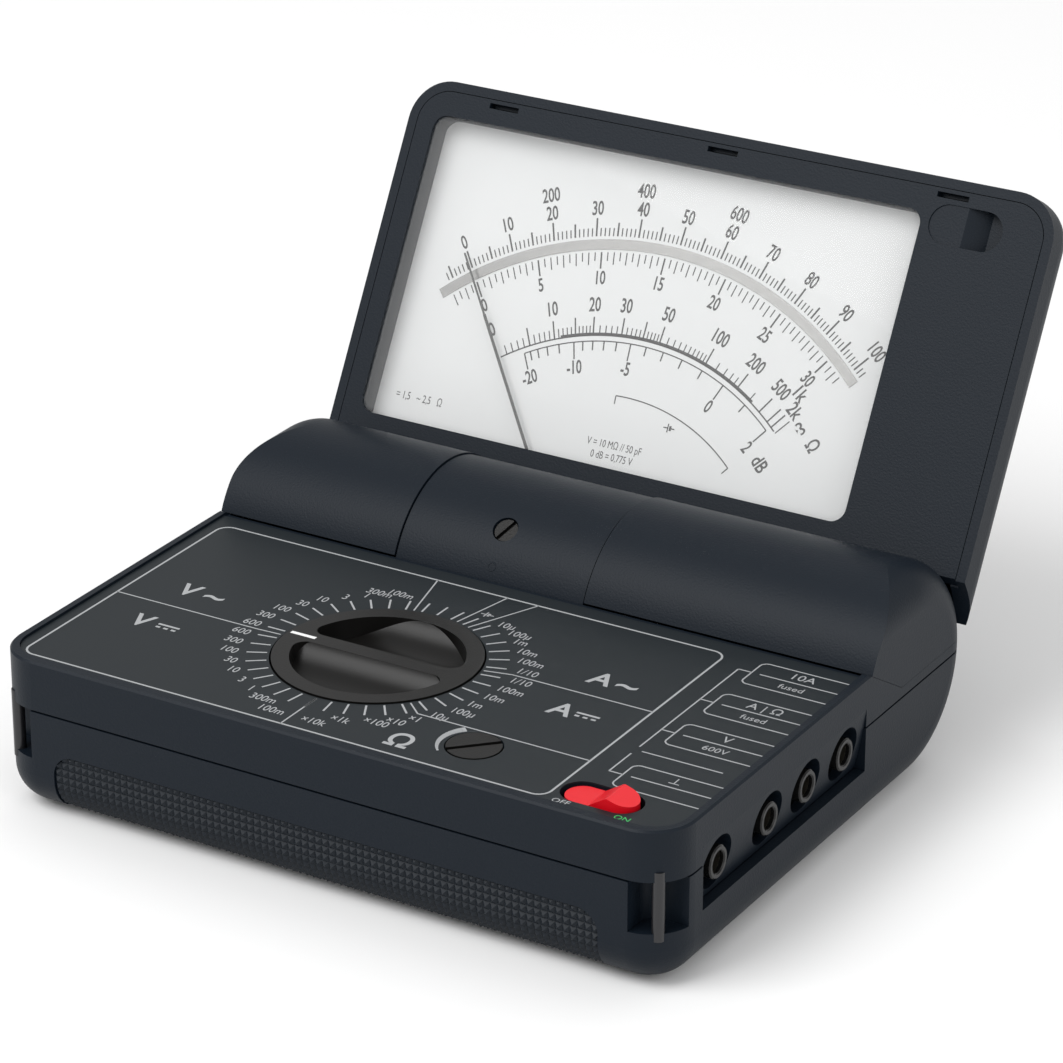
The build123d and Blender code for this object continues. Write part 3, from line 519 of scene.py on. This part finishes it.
def ohm_angle(ohms):
    return ZERO + SWEEP * ohms / (ohms + OHM_MID)


def decibel_angle(level):
    return ZERO + SWEEP * DB_FULL * 10 ** (level / 20)


def tick(pen, angle, r0, r1, width):
    """Dial tick, its angle measured from straight up, to the right."""
    pen.spoke(0, 0, r0 * MM, r1 * MM, radians(QUARTER - angle), width * MM)


def sweep_line(pen, r, a0, a1, width):
    pen.arc(0, 0, r * MM, radians(QUARTER - a0), radians(QUARTER - a1), width * MM)


def figure(text, angle, r, height, squeeze=0.66):
    """Number that leans with its place on the arc."""
    a = radians(angle)
    return label(text, r * MM * sin(a), r * MM * cos(a), height, -a, squeeze, 0.07 * MM)


def draw_main_scale(pen):
    for n in range(-6, 103):
        top = 76.9 if n % 10 == 0 else 75.9 if n % 5 == 0 else 74.8
        tick(pen, ZERO + UNIT * n, 73.1, top, 0.38 if n % 5 == 0 else 0.26)


def draw_low_scale(pen):
    for n in range(-4, 64):
        foot = 66.4 if n % 10 == 0 else 67.2 if n % 2 == 0 else 68.0
        tick(pen, ZERO + LOW_UNIT * n / 2, foot, 69.8, 0.36 if n % 10 == 0 else 0.24)


def draw_ohm_scale(pen):
    sweep_line(pen, 52.7, ZERO, 39.5, 0.3)
    sweep_line(pen, 52.9, -20, 31, 0.7)
    marks = (*range(1, 20), *range(20, 50, 2), *range(50, 100, 5), *range(100, 200, 20), 200, 300, 500,
             1000, 2000)
    for ohms in marks:
        tall = ohms in (5, 10, 15, 20, 30, 40, 50, 100, 200, 500, 1000, 2000)
        tick(pen, ohm_angle(ohms), 52.7, 56.5 if tall else 54.7, 0.32 if tall else 0.24)
    tick(pen, ZERO + SWEEP, 52.7, 56.5, 0.25)


def draw_decibel_scale(pen):
    sweep_line(pen, 51.5, decibel_angle(-20), decibel_angle(2), 0.25)
    for level in (-20, -18, -16, -14, -12, *range(-10, 3)):
        foot = 48.0 if level in (-20, -10, -5, 0, 2) else 49.6
        tick(pen, decibel_angle(level), foot, 51.5, 0.3)


def draw_cell_scale(pen):
    sweep_line(pen, 40.7, -3.5, 39.3, 0.25)
    tick(pen, -3.5, 39.0, 40.7, 0.25)
    tick(pen, 39.3, 39.0, 40.7, 0.25)
    a = radians(16.6)
    draw_cell_sign(pen, 38.2 * MM * sin(a), 38.2 * MM * cos(a), 1.8 * MM)


def dial_words(height):
    words = [figure(str(n), ZERO + UNIT * n, 78.8, height) for n in range(0, 101, 10)]
    words += [figure(str(10 * n), ZERO + UNIT * n, 82.6, height) for n in (20, 40, 60)]
    words += [figure(str(n), ZERO + LOW_UNIT * n, 64.4, height * 0.95) for n in range(0, 31, 5)]
    for ohms, text in ((0, "0"), (10, "10"), (20, "20"), (30, "30"), (50, "50"), (100, "100"),
                       (200, "200"), (500, "500")):
        words.append(figure(text, ohm_angle(ohms), 58.9, height))
    for text, angle, r in (("1k", 36.9, 61.4), ("2k", 38.9, 58.4), ("∞", 42.6, 57.4), ("Ω", 47, 57.9),
                           ("dB", 43.7, 46.6)):
        words.append(figure(text, angle, r, height, 0.75))
    for level in (-20, -10, -5, 0, 2):
        words.append(figure(str(level), decibel_angle(level), 46.2, height * 0.95))
    small = 1.5 * MM
    words.append(label("V = 10 MΩ // 50 pF", 0, 30.6 * MM, small, squeeze=0.72))
    words.append(label("0 dB = 0,775 V", 0, 28.2 * MM, small, squeeze=0.72))
    words.append(label("= 1,5   ~ 2,5   Ω", -46.5 * MM, 31.0 * MM, 1.6 * MM, squeeze=0.72))
    return words


class METER_OT_dial_print(bpy.types.Operator):
    """Print the scales and their numbers on the dial"""
    bl_idname = "meter.dial_print"
    bl_label = "Dial print"

    def execute(self, context):
        pen = Strokes("dial_lines")
        draw_main_scale(pen)
        draw_low_scale(pen)
        draw_ohm_scale(pen)
        draw_decibel_scale(pen)
        draw_cell_scale(pen)
        lines = pen.done()
        words = dial_words(context.scene.meter_look.dial_letter)
        black = finish("dial_black", (0.012, 0.012, 0.012), 0.6)
        print_on("dial_print", lines, words, dial_matrix(), black, "lid")
        return {"FINISHED"}


# ---- grip ---------------------------------------------------------------------------------------
EDGE_R = 7.6 * MM
GRIP_CORNER = 4.5 * MM
PEAK = 0.6 * MM
GRIP_T = 0.5 * MM


def grip_profile(s, height, depth):
    """Point s along the strip from its top edge: down the front wall, then under the round edge."""
    r = EDGE_R
    straight = height - r
    if s <= straight:
        return Vector((0, FRONT_Y + depth, BOTTOM_Z + height - s))
    a = (s - straight) / r
    if a <= pi / 2:
        reach = r - depth
        return Vector((0, FRONT_Y + r - reach * cos(a), BOTTOM_Z + r - reach * sin(a)))
    return Vector((0, FRONT_Y + r + s - straight - r * pi / 2, BOTTOM_Z + depth))


class METER_OT_front_grip(bpy.types.Operator):
    """Cover the front patch with rows of small pyramids"""
    bl_idname = "meter.front_grip"
    bl_label = "Front grip"

    def execute(self, context):
        low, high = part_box("front_grip")
        pitch = context.scene.meter_look.grip_pitch
        width = high.x - low.x
        height = high.z - BOTTOM_Z
        length = height - EDGE_R + EDGE_R * pi / 2 + high.y - FRONT_Y - EDGE_R
        columns, rows = round(width / pitch), round(length / pitch)
        clear_selection()
        bpy.ops.mesh.primitive_grid_add(x_subdivisions=columns, y_subdivisions=rows, size=1)
        grip = bpy.context.object
        grip.name = "front_grip_pyramids"
        bpy.ops.object.mode_set(mode="EDIT")
        bpy.ops.transform.resize(value=(width, length, 1))
        bpy.ops.mesh.select_all(action="DESELECT")
        mesh = bmesh.from_edit_mesh(grip.data)
        for face in mesh.faces:
            x, y = abs(face.calc_center_median().x), abs(face.calc_center_median().y)
            dx, dy = x - (width / 2 - GRIP_CORNER), y - (length / 2 - GRIP_CORNER)
            face.select = dx > 0 and dy > 0 and hypot(dx, dy) > GRIP_CORNER
        bmesh.update_edit_mesh(grip.data)
        bpy.ops.mesh.delete(type="FACE")
        bpy.ops.mesh.select_all(action="SELECT")
        bpy.ops.mesh.poke(offset=PEAK)
        bpy.ops.object.mode_set(mode="OBJECT")
        middle = (low.x + high.x) / 2
        for v in grip.data.vertices:
            at = grip_profile(length / 2 - v.co.y, height, PEAK - v.co.z)
            v.co = Vector((middle + v.co.x, at.y, at.z))
        wall = grip.modifiers.new("wall", "SOLIDIFY")
        wall.thickness = GRIP_T
        wall.offset = -1
        bpy.ops.object.modifier_apply(modifier=wall.name)
        grip.data.materials.append(FINISHES["grip_rubber"])
        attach(grip, "base")
        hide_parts("front_grip")
        return {"FINISHED"}


# ---- sign under the zero adjuster ---------------------------------------------------------------
ZERO_AXIS = Vector(JOINTS["zero_adjust_turn"]["axis"]).normalized()
SIGN_TURN = 21.0
SIGN_R = 21.55 * MM
SIGN_SIZE = 1.1 * MM
SIGN_GAP = 2.4 * MM
SIGN_T = 0.3 * MM
RING_R, RING_WIRE = 0.8 * MM, 0.25 * MM


class METER_OT_zero_sign(bpy.types.Operator):
    """Raise two arrowheads and a ring on the barrel, below the zero adjuster"""
    bl_idname = "meter.zero_sign"
    bl_label = "Zero sign"

    def execute(self, context):
        out = Matrix.Rotation(radians(SIGN_TURN), 3, "X") @ ZERO_AXIS
        right = Vector((1, 0, 0))
        signs = []
        for way in (-1, 1):
            clear_selection()
            bpy.ops.mesh.primitive_cylinder_add(
                vertices=3, radius=SIGN_SIZE, depth=SIGN_T, location=(way * SIGN_GAP, 0, 0),
                rotation=(0, 0, way * pi / 2))
            signs.append(bpy.context.object)
        clear_selection()
        bpy.ops.mesh.primitive_torus_add(
            major_radius=RING_R, minor_radius=RING_WIRE, major_segments=20, minor_segments=6)
        signs.append(bpy.context.object)
        select_only(signs)
        bpy.ops.object.join()
        sign = bpy.context.object
        bpy.ops.object.transform_apply(location=True, rotation=True, scale=True)
        sign.matrix_world = placed(PIVOT + out * SIGN_R, right, out.cross(right), out)
        bpy.ops.object.transform_apply(location=True, rotation=True, scale=True)
        sign.name = "zero_sign"
        sign.data.materials.append(FINISHES["case_plastic"])
        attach(sign, "lid")
        return {"FINISHED"}


# ---- stage --------------------------------------------------------------------------------------
CAMERA_AT = Vector((0.40673, -0.68191, 0.40137))
LOOK = Vector((-0.46926, 0.78118, -0.41177))
WORLD_STRENGTH = 0.66
AIM = Vector((0, 0, 0.03))
SENSOR = 36
CLIP = (0.05, 50)
# Name, place, width and share of the key power of each lamp.
LIGHTS = (("key", (-0.5, -0.9, 1.3), 1.0, 1.6), ("fill", (1.2, -0.5, 0.7), 1.2, 0.45),
          ("top", (0.0, 0.7, 1.4), 1.2, 0.3))


class METER_OT_studio(bpy.types.Operator):
    """Set the pale floor, the soft lights and the camera"""
    bl_idname = "meter.studio"
    bl_label = "Studio"

    def execute(self, context):
        studio = context.scene.studio_look
        clear_selection()
        bpy.ops.mesh.primitive_plane_add(size=studio.floor_size, location=(0, 0, 0))
        floor = bpy.context.object
        floor.name = "floor"
        floor.data.materials.append(finish("floor", (0.86, 0.86, 0.86), 0.9, spec=0.1))
        for name, at, size, share in LIGHTS:
            bpy.ops.object.light_add(type="AREA", location=at)
            lamp = bpy.context.object
            lamp.name = name
            lamp.data.energy = studio.key_power * share
            lamp.data.size = size
            lamp.rotation_euler = (AIM - Vector(at)).to_track_quat("-Z", "Y").to_euler()
        world = bpy.data.worlds.new("studio")
        world.use_nodes = True
        world.node_tree.nodes["Background"].inputs["Color"].default_value = (1, 1, 1, 1)
        world.node_tree.nodes["Background"].inputs["Strength"].default_value = WORLD_STRENGTH
        context.scene.world = world
        context.scene.view_settings.view_transform = "Standard"
        bpy.ops.object.camera_add(location=CAMERA_AT, rotation=LOOK.to_track_quat("-Z", "Y").to_euler())
        camera = bpy.context.object
        camera.data.lens = studio.lens
        camera.data.sensor_width = SENSOR
        camera.data.clip_start, camera.data.clip_end = CLIP
        context.scene.camera = camera
        return {"FINISHED"}


class METER_PT_sidebar(bpy.types.Panel):
    """Sizes, colours and pieces of the meter"""
    bl_idname = "METER_PT_sidebar"
    bl_label = "Meter"
    bl_space_type = "VIEW_3D"
    bl_region_type = "UI"
    bl_category = "Meter"

    def draw(self, context):
        for group in (context.scene.meter_look, context.scene.studio_look):
            for name in group.__annotations__:
                self.layout.prop(group, name)
        for operator in OPERATORS:
            self.layout.operator(operator.bl_idname)


OPERATORS = (METER_OT_finishes, METER_OT_panel_print, METER_OT_dial_print, METER_OT_front_grip,
             METER_OT_zero_sign, METER_OT_studio)
CLASSES = (MeterLook, StudioLook, *OPERATORS, METER_PT_sidebar)


def register():
    for cls in CLASSES:
        bpy.utils.register_class(cls)
    bpy.types.Scene.meter_look = bpy.props.PointerProperty(type=MeterLook)
    bpy.types.Scene.studio_look = bpy.props.PointerProperty(type=StudioLook)


def unregister():
    del bpy.types.Scene.meter_look
    del bpy.types.Scene.studio_look
    for cls in reversed(CLASSES):
        bpy.utils.unregister_class(cls)


def main():
    register()
    bpy.ops.meter.finishes()
    bpy.ops.meter.panel_print()
    bpy.ops.meter.dial_print()
    bpy.ops.meter.front_grip()
    bpy.ops.meter.zero_sign()
    bpy.ops.meter.studio()


if __name__ == "__main__":
    main()
